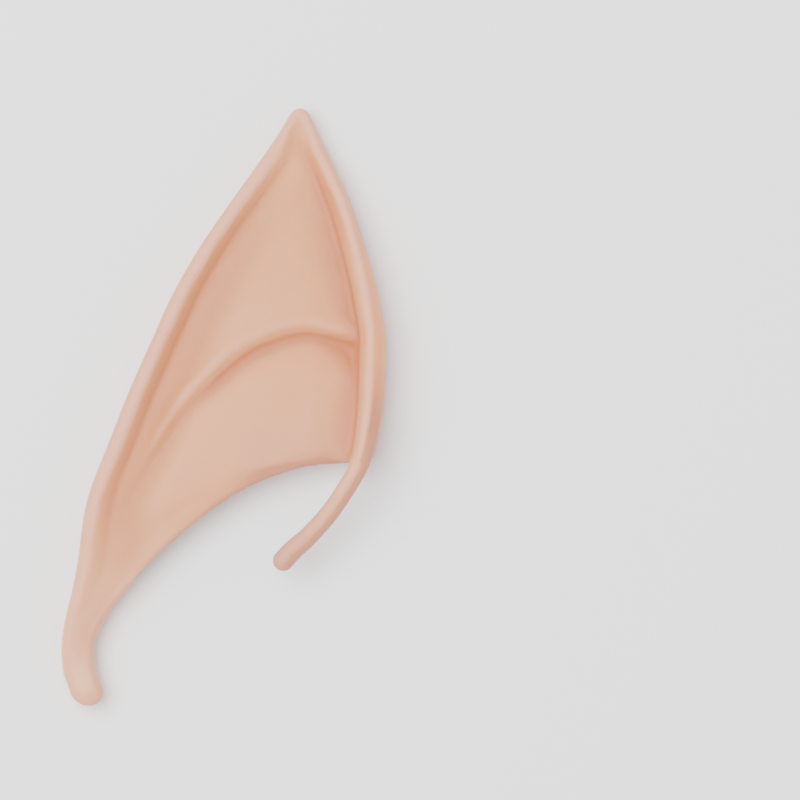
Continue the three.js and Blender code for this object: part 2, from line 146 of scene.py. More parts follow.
FOLD_LINE = [
    (0.930, 0.584),
    (0.860, 0.604),
    (0.760, 0.617),
    (0.659, 0.606),
    (0.551, 0.575),
    (0.412, 0.503),
    (0.305, 0.417),
    (0.237, 0.355),
    (0.203, 0.325),
]


def smooth(t):
    t = np.clip(t, 0, 1)
    return t * t * (3 - 2 * t)


def mix(a, b, t):
    return a + (b - a) * t


def read_table(rows, station):
    """The table's row at any place between its rows, along curves that never overshoot them."""
    rows = np.asarray(rows, float)
    steps = np.diff(rows, axis=0)
    before = np.vstack([steps[:1], steps])
    after = np.vstack([steps, steps[-1:]])
    same_way = before * after > 0
    slopes = np.where(same_way, 2 * before * after / np.where(same_way, before + after, 1), 0)
    i = min(int(station), len(rows) - 2)
    t = station - i
    bend = (1 - t) * slopes[i] - t * slopes[i + 1]
    return mix(rows[i], rows[i + 1], t) + t * (1 - t) * (bend - (1 - 2 * t) * steps[i])


def smooth_line(points, count):
    """A Catmull-Rom curve through the points, as evenly spaced points."""
    points = np.asarray(points, float)
    ends = np.vstack([2 * points[0] - points[1], points, 2 * points[-1] - points[-2]])
    fine = []
    for a, b, c, d in zip(ends, ends[1:], ends[2:], ends[3:]):
        for t in np.linspace(0, 1, CURVE_STEPS, endpoint=False):
            fine.append(
                b + 0.5 * t * (c - a + t * (2 * a - 5 * b + 4 * c - d + t * (3 * (b - c) + d - a)))
            )
    fine = np.array(fine + [points[-1]])
    run = np.concatenate([[0], np.cumsum(np.linalg.norm(np.diff(fine, axis=0), axis=1))])
    places = np.linspace(0, run[-1], count)
    return np.stack([np.interp(places, run, fine[:, k]) for k in range(fine.shape[1])], axis=1)


fold_line = smooth_line(np.array(FOLD_LINE) * [WIDTH, LENGTH], FOLD_POINTS)


def beside_line(points, line):
    """How far each point of the plan lies to the right of the line, and how far along it."""
    starts, runs = line[:-1], np.diff(line, axis=0)
    offset = points[:, None] - starts
    t = np.clip((offset * runs).sum(2) / (runs**2).sum(1), 0, 1)
    gap = np.linalg.norm(offset - t[..., None] * runs, axis=2)
    nearest = gap.argmin(1)
    rows = np.arange(len(points))
    across, run = offset[rows, nearest], runs[nearest]
    side = np.sign(across[:, 0] * run[:, 1] - across[:, 1] * run[:, 0])
    return gap[rows, nearest] * side, (nearest + t[rows, nearest]) / len(runs)


def fold_height(points, skin):
    """Height of the antihelix fold over the face. Inside the pocket only the crease shows."""
    distance, along = beside_line(points, fold_line)
    strength = 1 - smooth((along - FOLD_FADE[0]) / (FOLD_FADE[1] - FOLD_FADE[0]))
    strength *= mix(*FOLD_STRENGTH, along)

    def bump(centre, reach):
        return np.exp(-(((distance / FOLD_WIDTH - centre) / reach) ** 2))

    if skin > 0:
        return -strength * FOLD_CREASE * bump(0, CREASE_REACH_INSIDE)
    ridge = FOLD_RIDGE * bump(RIDGE_PLACE, RIDGE_REACH)
    crease = FOLD_CREASE * bump(0, np.where(distance > 0, *CREASE_REACH))
    groove = FOLD_GROOVE * bump(GROOVE_PLACE, GROOVE_REACH)
    return strength * (ridge - crease - groove)


arch_places = np.linspace(*LIP_RIBS, LIP_POINTS)
arch_line = np.array([read_table(RIBS, place)[2:4] for place in arch_places])
arch_line *= [WIDTH, LENGTH]


def lip_roll(points):
    """How far the lip rolls down. Past the arch it stays at its lowest."""
    distance, along = beside_line(points, arch_line)
    left = 1 - smooth((along - LIP_FADE[0]) / (LIP_FADE[1] - LIP_FADE[0]))
    return left * LIP_ROLL * np.clip(1 - distance / LIP_WIDTH, 0, 1) ** 2


def ring_of(station, skin):
    """One closed ring of the skin, or of the pocket where skin is the latex around it."""
    rib = read_table(RIBS, station)
    under, back_rim, back_crease, face, front_crease, front_rim, front_edge = (
        read_table(SECTIONS, station)[:7] * DEPTH
    )
    rim_width, square, curl, hollow, front_crest_share = read_table(SECTIONS, station)[7:]
    back = rib[:2] * [WIDTH, LENGTH]
    front = rib[2:4] * [WIDTH, LENGTH]
    width = np.linalg.norm(front - back)
    back = mix(back, front, skin / width)
    front = front + rib[4:] * skin
    span = np.linalg.norm(front - back)
    back_edge = mix(under, back_rim, BACK_EDGE)
    if skin > 0:
        back_rim = mix(back_crease, back_rim, hollow)
        front_rim = mix(front_crease, front_rim, hollow)
        square = 0
    under = under + skin
    back_rim, front_rim = back_rim - skin, front_rim - skin
    back_crease, front_crease, face = back_crease - skin, front_crease - skin, face - skin
    front_edge = min(front_edge, front_rim)

    def narrowed(rim):
        return max(min(rim, RIM_LIMIT * width) - 2 * skin, RIM_LEAST * rim)

    back_width, front_width = narrowed(BACK_RIM), narrowed(rim_width * FRONT_RIM)
    face_width = span - back_width - front_width
    back_sweep, front_sweep = min(BACK_SWEEP, face_width / 2), min(FRONT_SWEEP, face_width / 2)
    back_crest, front_crest = RIM_CREST * back_width, front_crest_share * front_width

    turn = np.linspace(0, np.pi / 2, EDGE_STEPS + 1)
    fall = np.linspace(0, 1, DROP_STEPS + 1)
    t = np.linspace(0, 1, FACE_STEPS + 1)[1:-1]
    from_back, from_front = t * face_width, (1 - t) * face_width
    lift = smooth(from_back / back_sweep) * smooth(from_front / front_sweep)
    fade = smooth(from_back / (FOLD_RISE[0] * back_sweep))
    fade *= smooth(from_front / (FOLD_RISE[1] * front_sweep))
    face_along = back_width + from_back
    face_points = back + np.outer(face_along / span, front - back)
    face_height = mix(mix(back_crease, front_crease, t), face, lift)
    face_height += fade * fold_height(face_points, skin)
    climb = mix(smooth(fall), np.sqrt(1 - (1 - fall) ** 2), square)
    back_drop = mix(1 - smooth(fall), np.sqrt(1 - fall**2), BACK_ROUND)
    under_along = span * (1 + np.cos(np.pi * np.arange(1, UNDER_STEPS) / UNDER_STEPS)) / 2

    def curl_up(gap, rounding, edge):
        nearness = np.clip(1 - gap / rounding, 0, 1)
        return (edge - under) * (1 - np.sqrt(1 - nearness**CURL_POWER))

    under_height = under + np.maximum(
        curl_up(under_along, min(UNDER_ROUNDING, span / 2), back_edge),
        curl_up(span - under_along, min(curl * UNDER_ROUNDING, span / 2), front_edge),
    )
    along = np.concatenate(
        [
            back_crest * (1 - np.cos(turn)),
            mix(back_crest, back_width, fall[1:]),
            face_along,
            span - mix(front_width, front_crest, fall[:-1]),
            span - front_crest * (1 - np.sin(turn)),
            under_along,
        ]
    )
    height = np.concatenate(
        [
            mix(back_edge, back_rim, np.sin(turn)),
            mix(back_crease, back_rim, back_drop[1:]),
            face_height,
            mix(front_crease, front_rim, climb[:-1]),
            mix(front_edge, front_rim, np.cos(turn)),
            under_height,
        ]
    )
    plan = back + np.outer(along / span, front - back)
    rolled = slice(EDGE_STEPS + DROP_STEPS + 1, len(height) - len(under_along))
    height[rolled] -= lip_roll(plan[rolled])
    return np.column_stack([plan, height])


def rings_between(first, last, skin):
    """Rings along the table of ribs, no further apart than SKIN_STEP."""

    def middle(place):
        rib = read_table(RIBS, place)
        return (rib[:2] + rib[2:4]) / 2 * [WIDTH, LENGTH]

    rings = []
    place = first
    while place < last:
        following = min(math.floor(place) + 1, last)
        run = np.linalg.norm(middle(following) - middle(place))
        for share in np.linspace(0, 1, math.ceil(run / SKIN_STEP), endpoint=False):
            rings.append(ring_of(mix(place, following, share), skin))
        place = following
    return rings + [ring_of(last, skin)]


def round_end(ring, outwards, reach, slope=0.0):
    """Rings that round off a blunt end, and the point that closes it."""
    outwards = np.asarray(outwards, float) / np.linalg.norm(outwards)
    centre = ring.mean(axis=0)
    rings = []
    for share in np.arange(1, END_STEPS) / END_STEPS:
        turn = mix(slope, math.pi / 2, share)
        size = math.cos(turn) / math.cos(slope)
        forwards = (math.sin(turn) - math.sin(slope)) / (1 - math.sin(slope))
        rings.append(centre + (ring - centre) * size + outwards * reach * forwards)
    return rings, centre + outwards * reach


def loft(name, first_end, rings, last_end):
    """A closed skin through the rings, between the two rounded ends."""
    rings = first_end[0][::-1] + rings + last_end[0]
    count = len(rings[0])
    points = np.vstack([first_end[1], *rings, last_end[1]])
    last = len(points) - 1
    faces = []
    for i in range(count):
        j = (i + 1) % count
        faces.append((0, 1 + i, 1 + j))
        faces.append((last, last - count + j, last - count + i))
        for ring in range(len(rings) - 1):
            a, b = 1 + ring * count, 1 + (ring + 1) * count
            faces.append((a + i, b + i, b + j, a + j))
    mesh = bpy.data.meshes.new(name)
    mesh.from_pydata(points.tolist(), [], faces)
    piece = bpy.data.objects.new(name, mesh)
    bpy.context.scene.collection.objects.link(piece)
    return piece


skin_rings = rings_between(0, len(RIBS) - 1, 0)
tip_reach = (1 - math.sin(TIP_SLOPE)) * TIP_RADIUS
moulding = loft(
    "ear_moulding",
    round_end(skin_rings[0], (0, 1, 0), tip_reach, TIP_SLOPE),
    skin_rings,
    round_end(skin_rings[-1], HOOK_FOOT_LEAN, HOOK_FOOT_RADIUS),
)


# The pocket for the wearer's ear, left by the core of the mould. From the arch on it runs out past
# the skin's edge, so the arch is its open mouth, with a thin lip above it.
POCKET_END = 0.0025  # how far both its ends are rounded off
POCKET_RIBS = (1.8, 14.2)  # places in the table of ribs where its straight run begins and ends

pocket_rings = rings_between(*POCKET_RIBS, WALL)
pocket = loft(
    "pocket_core",
    round_end(pocket_rings[0], (0, 1, 0), POCKET_END),
    pocket_rings,
    round_end(pocket_rings[-1], (0, -1, 0), POCKET_END),
)


# The tail, a solid finger of latex that carries on from the front rim and tucks in above the ear
# canal. It is swept along its middle line, a little slimmer halfway, with a dome at both ends.
TAIL_ROOT = 0.0042
TAIL_WAIST = 0.0038
TAIL_END = 0.0044
TAIL_STEP = 0.0002
TAIL_SIDES = 48
TAIL_POINTS = 60
MERGE_DISTANCE = 1e-6
TAIL_LINE = [
    (0.955, 0.500, 0.66),
    (0.948, 0.470, 0.77),
    (0.936, 0.440, 0.835),
    (0.917, 0.404, 0.84),
    (0.875, 0.364, 0.80),
    (0.823, 0.323, 0.74),
    (0.758, 0.284, 0.68),
    (0.716, 0.264, 0.64),
    (0.684, 0.245, 0.60),
]


def new_tree(name, inputs):
    """A Geometry Nodes tree with one geometry in and out, and named inputs for its sizes."""
    tree = bpy.data.node_groups.new(name, "GeometryNodeTree")
    tree.interface.new_socket("Geometry", in_out="INPUT", socket_type="NodeSocketGeometry")
    tree.interface.new_socket("Geometry", in_out="OUTPUT", socket_type="NodeSocketGeometry")
    for label, kind in inputs:
        tree.interface.new_socket(label, in_out="INPUT", socket_type="NodeSocket" + kind)
    tree.nodes.new("NodeGroupInput")
    tree.nodes.new("NodeGroupOutput")
    return tree


def add_node(tree, kind, settings=None, **links):
    """A node with its settings; each link goes to the input of that name, or is its value."""
    node = tree.nodes.new(kind)
    for key, value in (settings or {}).items():
        setattr(node, key, value)
    for name, value in links.items():
        label = name.replace("_", " ")
        if label.startswith("input "):
            socket = node.inputs[int(label[6:])]
        else:
            socket = next(s for s in node.inputs if s.name == label and s.enabled)
        if isinstance(value, bpy.types.NodeSocket):
            tree.links.new(value, socket)
        else:
            socket.default_value = value
    return node


def maths(tree, operation, *values):
    """A Math node in that tree; its values are sockets or plain numbers."""
    kind = "ShaderNodeMath"
    named = {f"input_{i}": value for i, value in enumerate(values)}
    return add_node(tree, kind, {"operation": operation}, **named).outputs[0]


def run_tree(piece, tree, values):
    """Runs the tree on the piece with these values for its inputs and keeps the result."""
    modifier = piece.modifiers.new(tree.name, "NODES")
    modifier.node_group = tree
    identifiers = {s.name: s.identifier for s in tree.interface.items_tree if s.in_out == "INPUT"}
    for label, value in values.items():
        modifier[identifiers[label]] = value
    keep_result(piece)


def keep_result(piece):
    """Turns what the piece's modifiers make into its own plain mesh and removes them."""
    depsgraph = bpy.context.evaluated_depsgraph_get()
    evaluated = piece.evaluated_get(depsgraph)
    result = bpy.data.meshes.new_from_object(
        evaluated, preserve_all_data_layers=True, depsgraph=depsgraph
    )
    piece.modifiers.clear()
    piece.data = result


def tail_tree():
    tree = new_tree(
        "swept tail",
        [
            ("Root Thickness", "Float"),
            ("Waist Thickness", "Float"),
            ("End Thickness", "Float"),
            ("Step", "Float"),
            ("Sides", "Int"),
            ("Material", "Material"),
        ],
    )
    given = tree.nodes["Group Input"].outputs
    line = add_node(tree, "GeometryNodeMeshToCurve", Mesh=given["Geometry"])
    evenly = add_node(
        tree,
        "GeometryNodeResampleCurve",
        {"mode": "LENGTH"},
        Curve=line.outputs[0],
        Length=given["Step"],
    )
    parameter = add_node(tree, "GeometryNodeSplineParameter").outputs
    total = add_node(tree, "GeometryNodeSplineLength").outputs["Length"]
    along = parameter["Factor"]
    waist_share = maths(tree, "SINE", maths(tree, "MULTIPLY", along, math.pi))

    def blend(a, b, share):
        part = maths(tree, "MULTIPLY", maths(tree, "SUBTRACT", b, a), share)
        return maths(tree, "ADD", a, part)

    straight = blend(given["Root Thickness"], given["End Thickness"], along)
    radius = maths(tree, "MULTIPLY", blend(straight, given["Waist Thickness"], waist_share), 0.5)
    to_end = maths(tree, "SUBTRACT", total, parameter["Length"])
    nearest_end = maths(tree, "MINIMUM", parameter["Length"], to_end)
    inside = maths(tree, "DIVIDE", nearest_end, radius)
    short = maths(tree, "SUBTRACT", 1.0, maths(tree, "MINIMUM", inside, 1.0))
    squared = maths(tree, "MULTIPLY", short, short)
    dome = maths(tree, "SQRT", maths(tree, "SUBTRACT", 1.0, squared))
    widths = maths(tree, "MULTIPLY", radius, dome)
    circle = add_node(
        tree, "GeometryNodeCurvePrimitiveCircle", Resolution=given["Sides"], Radius=1.0
    )
    swept = add_node(
        tree,
        "GeometryNodeCurveToMesh",
        Curve=evenly.outputs[0],
        Profile_Curve=circle.outputs[0],
        Scale=widths,
    )
    closed = add_node(
        tree, "GeometryNodeMergeByDistance", Geometry=swept.outputs[0], Distance=MERGE_DISTANCE
    )
    real = add_node(tree, "GeometryNodeRealizeInstances", Geometry=closed.outputs[0])
    done = add_node(
        tree, "GeometryNodeSetMaterial", Geometry=real.outputs[0], Material=given["Material"]
    )
    tree.links.new(done.outputs[0], tree.nodes["Group Output"].inputs[0])
    return tree


latex = bpy.data.materials.new("soft_latex")
tail_line = smooth_line(np.array(TAIL_LINE) * [WIDTH, LENGTH, DEPTH], TAIL_POINTS)
at_root, at_end = tail_line[0] - tail_line[1], tail_line[-1] - tail_line[-2]
root_end = tail_line[0] + at_root / np.linalg.norm(at_root) * (TAIL_ROOT / 2)
free_end = tail_line[-1] + at_end / np.linalg.norm(at_end) * (TAIL_END / 2)
tail_line = np.vstack([root_end, tail_line, free_end])
line_mesh = bpy.data.meshes.new("tail")
line_mesh.from_pydata(tail_line.tolist(), [(i, i + 1) for i in range(len(tail_line) - 1)], [])
tail = bpy.data.objects.new("tail", line_mesh)
bpy.context.scene.collection.objects.link(tail)
run_tree(
    tail,
    tail_tree(),
    {
        "Root Thickness": TAIL_ROOT,
        "Waist Thickness": TAIL_WAIST,
        "End Thickness": TAIL_END,
        "Step": TAIL_STEP,
        "Sides": TAIL_SIDES,
        "Material": latex,
    },
)


# The moulding as it comes out of the mould: the skin with its pocket and tail in one piece, its
# edges a little softened, as poured latex always is. The latex is skin-toned all through and paler
# where it was powdered on the hook; its paler rim crests are a painted highlight, and its warmer
# creases and hollows are painted shade.
GRAIN = 0.00046  # distance between the points of the finished mesh
SOFTENING = 6  # rounds of smoothing
SOFTENING_SHARE = 0.5
CREASE_STEPS = 45  # how far round a point a crease is felt
CREASE_DEPTH = 0.0004  # how far a point lies under its surroundings in a full crease
HOLLOW_STEPS = 400  # the same for the wide hollows beside the rims
HOLLOW_DEPTH = 0.001
LIP_STEPS = 8  # how much the lip's thin edge is softened
LIP_SOFT = (0.0012, 0.0030)  # how far from the edge that is full, and where it ends
WAVER = 0.00012  # slight unevenness of a hand-poured skin
WAVER_SCALE = 70.0
WAVER_DETAIL = 1.0
NOISE_MIDDLE = 0.5
FLAT_BACK = (0.0001, 0.0020)  # heights between which that sets in, as the back lies flat

for other, operation in ((pocket, "DIFFERENCE"), (tail, "UNION")):
    cut = moulding.modifiers.new(other.name, "BOOLEAN")
    cut.operation = operation
    cut.object = other
    cut.solver = "MANIFOLD"
even = moulding.modifiers.new("even mesh", "REMESH")
even.mode = "VOXEL"
even.voxel_size = GRAIN
even.adaptivity = 0
even.use_smooth_shade = True
soft = moulding.modifiers.new("soft edges", "SMOOTH")
soft.factor = SOFTENING_SHARE
soft.iterations = SOFTENING
keep_result(moulding)
for helper in (pocket, tail):
    bpy.data.objects.remove(helper)

node_low, node_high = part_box("ear_sleeve")
points = np.empty(len(moulding.data.vertices) * 3)
moulding.data.vertices.foreach_get("co", points)
points = points.reshape(-1, 3)
low, high = points.min(0), points.max(0)
shift = (np.array(node_low) + np.array(node_high)) / 2 - (low + high) / 2
shift[2] = node_low[2] - low[2]
moulding.data.vertices.foreach_set("co", (points + shift).ravel())
moulding.data.update()

LIP_EDGE = (8.6, 14.3)  # places in the table of ribs that the lip's edge runs between
# A line along the middle of the hollow beside the back rim, that the painted shade there is
# measured from
SHADE_LINE_RIBS = (1.5, 17.0)  # the same for the hollow beside the back rim
FRONT_RIBS = (0, 8.4)  # and for the outer side of the front rim
SHADE_LINE_OFFSET = 0.003  # from the back rim's foot to the middle of that hollow
SHADE_LINE_LIMIT = 0.5  # most of a narrow section that lies between the back edge and its middle
LINE_STEPS = 120


def guide_line(name, ribs, point_at):
    """A line to measure from, through a point worked out at each place in the table of ribs."""
    line = np.array([point_at(place) for place in np.linspace(*ribs, LINE_STEPS)]) + shift
    mesh = bpy.data.meshes.new(name)
    mesh.from_pydata(line.tolist(), [(i, i + 1) for i in range(LINE_STEPS - 1)], [])
    guide = bpy.data.objects.new(name, mesh)
    bpy.context.scene.collection.objects.link(guide)
    return guide


def lip_point(place):
    rib, section = read_table(RIBS, place), read_table(SECTIONS, place)
    return rib[2] * WIDTH, rib[3] * LENGTH, section[6] * DEPTH


def front_point(place):
    rib, section = read_table(RIBS, place), read_table(SECTIONS, place)
    return rib[2] * WIDTH, rib[3] * LENGTH, section[5] * DEPTH


def shade_line_point(place):
    rib, section = read_table(RIBS, place), read_table(SECTIONS, place)
    back, front = rib[:2] * [WIDTH, LENGTH], rib[2:4] * [WIDTH, LENGTH]
    width = np.linalg.norm(front - back)
    share = min((BACK_RIM + SHADE_LINE_OFFSET) / width, SHADE_LINE_LIMIT)
    return *mix(back, front, share), section[2] * DEPTH


lip_line = guide_line("lip_line", LIP_EDGE, lip_point)
pool_line = guide_line("pool_line", SHADE_LINE_RIBS, shade_line_point)
front_line = guide_line("front_line", FRONT_RIBS, front_point)


def ramp(tree, value, low, high, least=0.0):
    """least at low, 1 at high and a soft rise between; high may be the smaller of the two."""
    node = add_node(tree, "ShaderNodeMapRange", {"interpolation_type": "SMOOTHSTEP"}, Value=value)
    node.inputs["From Min"].default_value = low
    node.inputs["From Max"].default_value = high
    node.inputs["To Min"].default_value = least
    return node.outputs["Result"]


def finish_tree():
    """Slight unevenness, and for every point how deep it lies in a crease and how near the lip."""
    tree = new_tree(
        "moulded finish",
        [
            ("Lip Steps", "Int"),
            ("Waver", "Float"),
            ("Waver Scale", "Float"),
            ("Crease Steps", "Int"),
            ("Crease Depth", "Float"),
            ("Hollow Steps", "Int"),
            ("Hollow Depth", "Float"),
            ("Lip Line", "Object"),
            ("Pool Line", "Object"),
            ("Front Line", "Object"),
            ("Material", "Material"),
        ],
    )
    given = tree.nodes["Group Input"].outputs
    place = add_node(tree, "GeometryNodeInputPosition").outputs[0]
    normal = add_node(tree, "GeometryNodeInputNormal").outputs[0]
    lip = add_node(tree, "GeometryNodeObjectInfo", Object=given["Lip Line"]).outputs["Geometry"]
    near_lip = add_node(
        tree, "GeometryNodeProximity", {"target_element": "EDGES"}, Geometry=lip
    ).outputs["Distance"]
    softened = add_node(
        tree,
        "GeometryNodeBlurAttribute",
        {"data_type": "FLOAT_VECTOR"},
        Value=place,
        Iterations=given["Lip Steps"],
        Weight=ramp(tree, near_lip, LIP_SOFT[1], LIP_SOFT[0]),
    )
    softened = next(s for s in softened.outputs if s.enabled)
    soft_lip = add_node(
        tree, "GeometryNodeSetPosition", Geometry=given["Geometry"], Position=softened
    ).outputs[0]
    noise = add_node(
        tree, "ShaderNodeTexNoise", Vector=place, Scale=given["Waver Scale"], Detail=WAVER_DETAIL
    ).outputs[0]
    height = maths(tree, "MULTIPLY", maths(tree, "SUBTRACT", noise, NOISE_MIDDLE), given["Waver"])
    above_flat = add_node(tree, "ShaderNodeSeparateXYZ", Vector=place).outputs["Z"]
    height = maths(tree, "MULTIPLY", height, ramp(tree, above_flat, *FLAT_BACK))
    offset = add_node(
        tree, "ShaderNodeVectorMath", {"operation": "SCALE"}, Vector=normal, Scale=height
    ).outputs[0]
    uneven = add_node(
        tree, "GeometryNodeSetPosition", Geometry=soft_lip, Offset=offset
    ).outputs[0]
    marked = uneven
    for name in ("Crease", "Hollow"):
        around = add_node(
            tree,
            "GeometryNodeBlurAttribute",
            {"data_type": "FLOAT_VECTOR"},
            Value=place,
            Iterations=given[name + " Steps"],
        )
        blurred = next(s for s in around.outputs if s.enabled)
        towards = add_node(
            tree, "ShaderNodeVectorMath", {"operation": "SUBTRACT"}, input_0=blurred, input_1=place
        ).outputs[0]
        depth = add_node(
            tree,
            "ShaderNodeVectorMath",
            {"operation": "DOT_PRODUCT"},
            input_0=towards,
            input_1=normal,
        ).outputs["Value"]
        marked = add_node(
            tree,
            "GeometryNodeStoreNamedAttribute",
            {"data_type": "FLOAT", "domain": "POINT"},
            Geometry=marked,
            Name=name.lower(),
            Value=maths(tree, "DIVIDE", depth, given[name + " Depth"]),
        ).outputs[0]
    for name in ("Lip", "Pool", "Front"):
        line = add_node(tree, "GeometryNodeObjectInfo", Object=given[name + " Line"])
        near = add_node(
            tree,
            "GeometryNodeProximity",
            {"target_element": "EDGES"},
            Geometry=line.outputs["Geometry"],
        )
        marked = add_node(
            tree,
            "GeometryNodeStoreNamedAttribute",
            {"data_type": "FLOAT", "domain": "POINT"},
            Geometry=marked,
            Name="from_" + name.lower(),
            Value=near.outputs["Distance"],
        ).outputs[0]
    shaded = add_node(tree, "GeometryNodeSetShadeSmooth", Geometry=marked).outputs[0]
    real = add_node(tree, "GeometryNodeRealizeInstances", Geometry=shaded).outputs[0]
    done = add_node(
        tree, "GeometryNodeSetMaterial", Geometry=real, Material=given["Material"]
    ).outputs[0]
    tree.links.new(done, tree.nodes["Group Output"].inputs[0])
    return tree


run_tree(
    moulding,
    finish_tree(),
    {
        "Lip Steps": LIP_STEPS,
        "Waver": WAVER,
        "Waver Scale": WAVER_SCALE,
        "Crease Steps": CREASE_STEPS,
        "Crease Depth": CREASE_DEPTH,
        "Hollow Steps": HOLLOW_STEPS,
        "Hollow Depth": HOLLOW_DEPTH,
        "Lip Line": lip_line,
        "Pool Line": pool_line,
        "Front Line": front_line,
        "Material": latex,
    },
)
for guide in (lip_line, pool_line, front_line):
    bpy.data.objects.remove(guide)

# Colours of the latex, and of the painted shade and painted highlights on it
TAN = (0.66, 0.272, 0.103, 1)
PINK = (0.68, 0.288, 0.132, 1)
HOLLOW_SHADE = (0.57, 0.215, 0.09, 1)
CREASE_SHADE = (0.50, 0.152, 0.05, 1)
BACK_HOLLOW_SHADE = (0.525, 0.188, 0.057, 1)
RIM_HIGHLIGHT = (0.71, 0.335, 0.19, 1)
POWDERED_HOOK = (0.75, 0.385, 0.23, 1)
POWDERED_FOOT = (0.84, 0.46, 0.285, 1)
SIDE_SHADE = (0.86, 0.29, 0.105, 1)
SIDE_SHADE_AT_ROOT = (0.62, 0.195, 0.075, 1)
TAIL_SHADE = (0.54, 0.225, 0.125, 1)
LIP_SHADE = (0.47, 0.19, 0.11, 1)

# Where each tint begins and where it is full, and its share at the beginning where that isn't 0.
# Those along the part are measured from its middle towards the hook, so the tip is at -0.06.
PINK_ALONG = (-0.035, 0.020)
HOOK_ALONG = (0.020, 0.055)
FOOT_ALONG = (0.050, 0.058)
BACK_HOLLOW_SHADE_NEAR = (0.0076, 0.0006)
BACK_HOLLOW_SHADE_BELOW_TIP = (-0.052, -0.020)
BACK_HOLLOW_SHADE_ABOVE_HOOK = (0.038, 0.018, 0.35)
BACK_HOLLOW_SHADE_ABOVE_FOOT = (0.056, 0.045)
HOLLOW_FELT = (0.0, 0.9)
CREASE_FELT = (0.1, 0.95)
CREASE_OFF_FRONT_RIM = (0.0055, 0.0085, 0.7)
CREASE_OFF_SHADE_LINE = (0.004, 0.008, 0.45)
CREASE_ABOVE_MOUTH = (0.004, -0.006, 0.7)
CREST_FELT = (0.35, 1.3)
TIP_ALONG = (-0.026, -0.042)
TIP_RIM_NEAR = (0.0028, 0.0012)
TIP_CREASE_IN = (0.0022, 0.0034)
TIP_CREASE_OUT = (0.0066, 0.0038)
TIP_CREASE_ALONG = (-0.055, -0.050)
TIP_CREASE_SHARE = 0.55
SIDE_FACING = (0.87, -0.5, 0)  # where the outer side of the front rim faces
SIDE_SHADE_FACING = (0.15, 0.7)
SIDE_SHADE_NEAR = (0.0075, 0.0045)
SIDE_SHADE_ALONG = (-0.045, -0.022)
ROOT_ALONG = (-0.012, 0.004)
TAIL_ACROSS = (0.0, 0.008)
TAIL_ALONG = (-0.004, 0.014)
TAIL_END_ALONG = (0.012, 0.034)
TAIL_END_SHARE = 0.75
TAIL_FACING = (-0.35, 0.6)
TAIL_STREAK_IN = (0.22, 0.3)
TAIL_STREAK_OUT = (0.4, 0.32)
TAIL_STREAK_SHARE = 0.4
LIP_NEAR = (0.0020, 0.0006)
LIP_SHARE = 0.7

# Scale, detail and roughness of each noise
BLOTCHES = (45.0, 2.0, 0.5)
POWDER = (300.0, 3.0, 0.6)
SKIN_GRAIN = (2600.0, 3.0, 0.6)
BLOTCH_STRENGTH = 1.2
GRAIN_HEIGHT = 0.00003
ROUGHNESS = (0.5, 0.68)
SKIN_LIGHT = {
    "Subsurface Weight": 0.5,
    "Subsurface Radius": (1.0, 0.4, 0.22),
    "Subsurface Scale": 0.0016,
    "Sheen Weight": 0.05,
    "Sheen Roughness": 0.45,
}

latex.use_nodes = True
tree = latex.node_tree
shader = tree.nodes["Principled BSDF"]
place = add_node(tree, "ShaderNodeTexCoord").outputs["Object"]


def product(*values):
    """The product of sockets and plain numbers in the material."""
    result = values[0]
    for value in values[1:]:
        result = maths(tree, "MULTIPLY", result, value)
    return result


def felt(name):
    """One of the values that the finish stored for every point."""
    return add_node(tree, "ShaderNodeAttribute", {"attribute_name": name}).outputs["Fac"]


def noise_of(scale, detail, roughness):
    values = {"Scale": scale, "Detail": detail, "Roughness": roughness}
    return add_node(tree, "ShaderNodeTexNoise", Vector=place, **values).outputs["Fac"]


def tinted(under, over, share):
    """A share of one colour over another; the colours are sockets or plain values."""
    node = add_node(tree, "ShaderNodeMix", {"data_type": "RGBA"}, Factor=share)
    sockets = [s for s in node.inputs if s.type == "RGBA"]
    for socket, value in zip(sockets, (under, over)):
        if isinstance(value, bpy.types.NodeSocket):
            tree.links.new(value, socket)
        else:
            socket.default_value = value
    return next(s for s in node.outputs if s.type == "RGBA")


placed = add_node(tree, "ShaderNodeSeparateXYZ", Vector=place).outputs
towards_hook = product(placed["Y"], -1.0)
crease, from_front, from_pool = felt("crease"), felt("from_front"), felt("from_pool")
facing = add_node(tree, "ShaderNodeNewGeometry").outputs["Normal"]
side = add_node(
    tree, "ShaderNodeVectorMath", {"operation": "DOT_PRODUCT"}, input_0=facing, input_1=SIDE_FACING
).outputs["Value"]

# The latex from tan at the tip to pink, in slow blotches, and powdered at the hook
blotches = maths(tree, "SUBTRACT", noise_of(*BLOTCHES), NOISE_MIDDLE)
uneven = product(blotches, BLOTCH_STRENGTH)
pinker = maths(tree, "ADD", ramp(tree, towards_hook, *PINK_ALONG), uneven)
colour = tinted(TAN, PINK, pinker)
colour = tinted(colour, POWDERED_HOOK, ramp(tree, towards_hook, *HOOK_ALONG))
colour = tinted(colour, POWDERED_FOOT, ramp(tree, towards_hook, *FOOT_ALONG))

